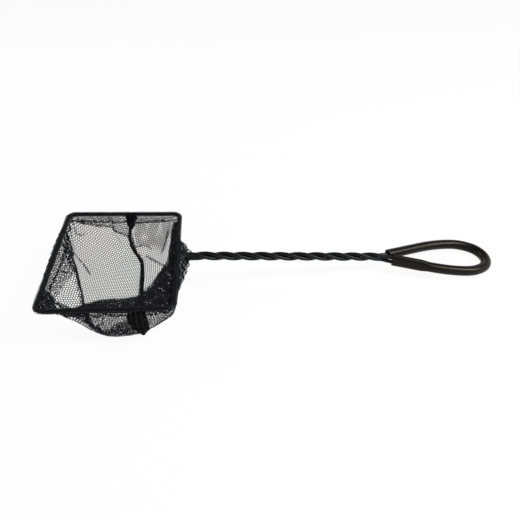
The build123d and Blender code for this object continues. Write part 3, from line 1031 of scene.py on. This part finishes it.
def surplus_net(name, wire_edge, free_edge, layers, width, sag, seed):
    """Layers of net between the wire and a free inner edge, given as paired points on the mouth."""
    wire_edge = smooth_path(np.array(wire_edge) * mm, fold_places)
    free_edge = smooth_path(np.array(free_edge) * mm, fold_places)
    length = lengths_along((wire_edge + free_edge) / 2)[-1]

    def place(point, layer):
        f = np.clip(point[:, 0] / length, 0, 1) * (fold_places - 1)
        t = np.clip(point[:, 1] / width, 0, 1)
        outer = look_up(f, np.arange(fold_places), wire_edge)
        inner = look_up(f, np.arange(fold_places), free_edge)
        uv = outer * (1 - t)[:, None] + inner * t[:, None]
        ripple = waves(point[:, 0] + fold_slant * point[:, 1], fold_wave_lengths, seed + layer)
        hang = -(rim_drop + fold_drop + fold_layer_drop * layer) - sag * np.sin(math.pi * t * 0.5)
        return on_mouth(uv[:, 0], uv[:, 1], hang + fold_ripple * ripple * np.sin(math.pi * t))

    piece = layered_net(name, length, width, place, layers, fold_turns, net_yarn, fold_thread)
    stay_on_frame(piece, "bag_mesh")


surplus_net("near_fold", near_fold_wire, near_fold_free, near_fold_layers, near_fold_width,
            near_fold_sag, seed=21)
surplus_net("corner_tuck", corner_tuck_wire, corner_tuck_free, corner_tuck_layers, corner_tuck_width,
            corner_tuck_sag, seed=31)


def bunch_net(name, route, widths, depth, folds, seed):
    """Net gathered into pleats along a route, standing out towards the near side."""
    route = smooth_path(np.array(route, float) * mm, bunch_places)
    along = lengths_along(route)
    knots = np.linspace(0, 1, len(widths))
    widths = np.interp(np.linspace(0, 1, bunch_places), knots, np.array(widths) * mm)
    flat_width = bunch_gather * float(widths.mean())
    face = np.array(bunch_face, float)
    side = unit(np.cross(np.gradient(route, axis=0), face))

    def place(point, layer):
        s = np.clip(point[:, 0], 0, along[-1])
        t = np.clip(point[:, 1] / flat_width, 0, 1) - 0.5
        middle = look_up(s, along, route)
        aside = look_up(s, along, side)
        wide = np.interp(s, along, widths)
        wander = bunch_wander * waves(s, bunch_wave_lengths, seed + layer)
        pleat = np.sin(2 * math.pi * folds * t + wander + bunch_layer_shift * layer)
        crown = (1 - 4 * t * t) * (1 - bunch_layer_drop * layer)
        out = depth * mm * (bunch_pleat_share * pleat + crown)
        return middle + aside * (t * wide)[:, None] + face * out[:, None]

    piece = layered_net(name, along[-1], flat_width, place, bunch_layers, bunch_turns, seam_yarn,
                        bunch_thread)
    return piece


seam_bunch = bunch_net("seam_bunch", seam_bunch_route, seam_bunch_widths, seam_bunch_depth,
                       seam_bunch_folds, seed=41)
follow_bag(seam_bunch, "seam_mesh", "seam_tail")
far_bunch = bunch_net("far_bunch", far_bunch_route, far_bunch_widths, far_bunch_depth,
                      far_bunch_folds, seed=43)
stay_on_frame(far_bunch, "seam_mesh")


def wire_web(name, wire_u, outward, reaches, girth, seed):
    """Net that stands out beyond an end wire of the mouth, as far as the reaches say."""
    edge = np.array(reaches) * mm
    low, high = edge[0, 0], edge[-1, 0]

    def place(point, layer):
        v = low + np.clip(point[:, 0], 0, high - low)
        t = np.clip(point[:, 1] / girth, 0, 1)
        reach = np.interp(v, edge[:, 0], edge[:, 1]) * (1 - web_layer_shrink * layer)
        ripple = waves(v + web_slant * t * girth, web_wave_lengths, seed + layer)
        out = reach * np.sin(math.pi * t) * (1 + web_unevenness * ripple)
        return on_mouth(wire_u + outward * out, v, web_rise - web_fall * girth * t)

    piece = layered_net(name, high - low, girth, place, web_layers, web_turns, net_yarn)
    stay_on_frame(piece, "bag_mesh")


# The pouch about the handle's root, and the loose edge in front of the front wire
wire_web("junction_web", 0.0, 1, junction_reach, junction_girth, seed=51)
wire_web("front_web", -frame_length, -1, front_reach, front_girth, seed=61)


# Stage, light and camera

def floor_material():
    """Plain pale floor that the camera sees as near white, with the object's soft shadow kept."""
    material, nodes, links, shader = new_material("pale_floor")
    nodes.remove(shader)
    out = nodes["Material Output"]
    paper = nodes.new("ShaderNodeBsdfDiffuse")
    paper.inputs["Color"].default_value = (floor_grey, floor_grey, floor_grey, 1)
    white = nodes.new("ShaderNodeEmission")
    white.inputs["Color"].default_value = (1, 1, 1, 1)
    seen = seen_as_background(nodes, links)
    soften = nodes.new("ShaderNodeMath")
    soften.operation = "MULTIPLY"
    soften.inputs[1].default_value = background_share
    mix = nodes.new("ShaderNodeMixShader")
    links.new(seen, soften.inputs[0])
    links.new(soften.outputs[0], mix.inputs["Fac"])
    links.new(paper.outputs[0], mix.inputs[1])
    links.new(white.outputs[0], mix.inputs[2])
    links.new(mix.outputs[0], out.inputs["Surface"])
    return material


def seen_as_background(nodes, links):
    """1 for rays from the camera, and for rays that a gloss or glass sends on, else 0."""
    path = nodes.new("ShaderNodeLightPath")
    joined = path.outputs["Is Camera Ray"]
    for name in ("Is Glossy Ray", "Is Transmission Ray"):
        either = nodes.new("ShaderNodeMath")
        either.operation = "MAXIMUM"
        links.new(joined, either.inputs[0])
        links.new(path.outputs[name], either.inputs[1])
        joined = either.outputs[0]
    return joined


def make_floor():
    """The table top. It stays under the bag, whose drop is the frame being lifted off it."""
    mesh = bpy.data.meshes.new("floor")
    edge = floor_size / 2
    corners = [(-edge, -edge, 0), (edge, -edge, 0), (edge, edge, 0), (-edge, edge, 0)]
    mesh.from_pydata(corners, [], [(0, 1, 2, 3)])
    mesh.materials.append(floor_material())
    floor = bpy.data.objects.new("floor", mesh)
    bpy.context.scene.collection.objects.link(floor)
    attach(floor, "bag")


def make_walls():
    """White walls all round, and a dark ceiling that the lamps hang from."""
    world = bpy.data.worlds.new("studio")
    world.use_nodes = True
    bpy.context.scene.world = world
    nodes = world.node_tree.nodes
    links = world.node_tree.links
    direction = nodes.new("ShaderNodeTexCoord")
    split = nodes.new("ShaderNodeSeparateXYZ")
    walls = nodes.new("ShaderNodeValToRGB")
    wall, ceiling = walls.color_ramp.elements
    wall.position = wall_top
    wall.color = (1, 1, 1, 1)
    ceiling.position = ceiling_start
    ceiling.color = (ceiling_grey, ceiling_grey, ceiling_grey, 1)
    links.new(direction.outputs["Generated"], split.inputs[0])
    links.new(split.outputs["Z"], walls.inputs["Fac"])
    links.new(walls.outputs["Color"], nodes["Background"].inputs["Color"])


def placing(side, up, back, place):
    """Matrix of a lamp or camera that looks away from back, with its top along up."""
    turn = np.stack((side, up, back), axis=-1)
    return Matrix([[*turn[k], place[k]] for k in range(3)] + [[0, 0, 0, 1]])


def soft_lamp(name, place, aim, size, watts):
    lamp = bpy.data.lights.new(name, "AREA")
    lamp.shape = "RECTANGLE"
    lamp.size, lamp.size_y = size
    lamp.energy = watts
    holder = bpy.data.objects.new(name, lamp)
    bpy.context.scene.collection.objects.link(holder)
    direction = np.array(aim) - np.array(place)
    direction /= np.linalg.norm(direction)
    side = np.cross(direction, lamp_top)
    side /= np.linalg.norm(side)
    holder.matrix_world = placing(side, np.cross(side, direction), -direction, place)


def make_camera():
    level = math.cos(camera_height)
    back = np.array((math.sin(camera_yaw) * level, -math.cos(camera_yaw) * level,
                     math.sin(camera_height)))
    right = np.cross(-back, (0, 0, 1))
    right /= np.linalg.norm(right)
    up = np.cross(right, -back)
    rolled_right = math.cos(camera_roll) * right + math.sin(camera_roll) * up
    rolled_up = math.cos(camera_roll) * up - math.sin(camera_roll) * right
    data = bpy.data.cameras.new("camera")
    data.lens = camera_lens
    data.sensor_width = camera_sensor
    data.sensor_fit = "HORIZONTAL"
    data.clip_start, data.clip_end = camera_clip
    camera = bpy.data.objects.new("camera", data)
    camera.matrix_world = placing(rolled_right, rolled_up, back, camera_place)
    bpy.context.scene.collection.objects.link(camera)
    bpy.context.scene.camera = camera


make_floor()
make_walls()
soft_lamp("strip", *strip_lamp)
soft_lamp("side", *side_lamp)
make_camera()
bpy.context.scene.view_settings.view_transform = "Standard"
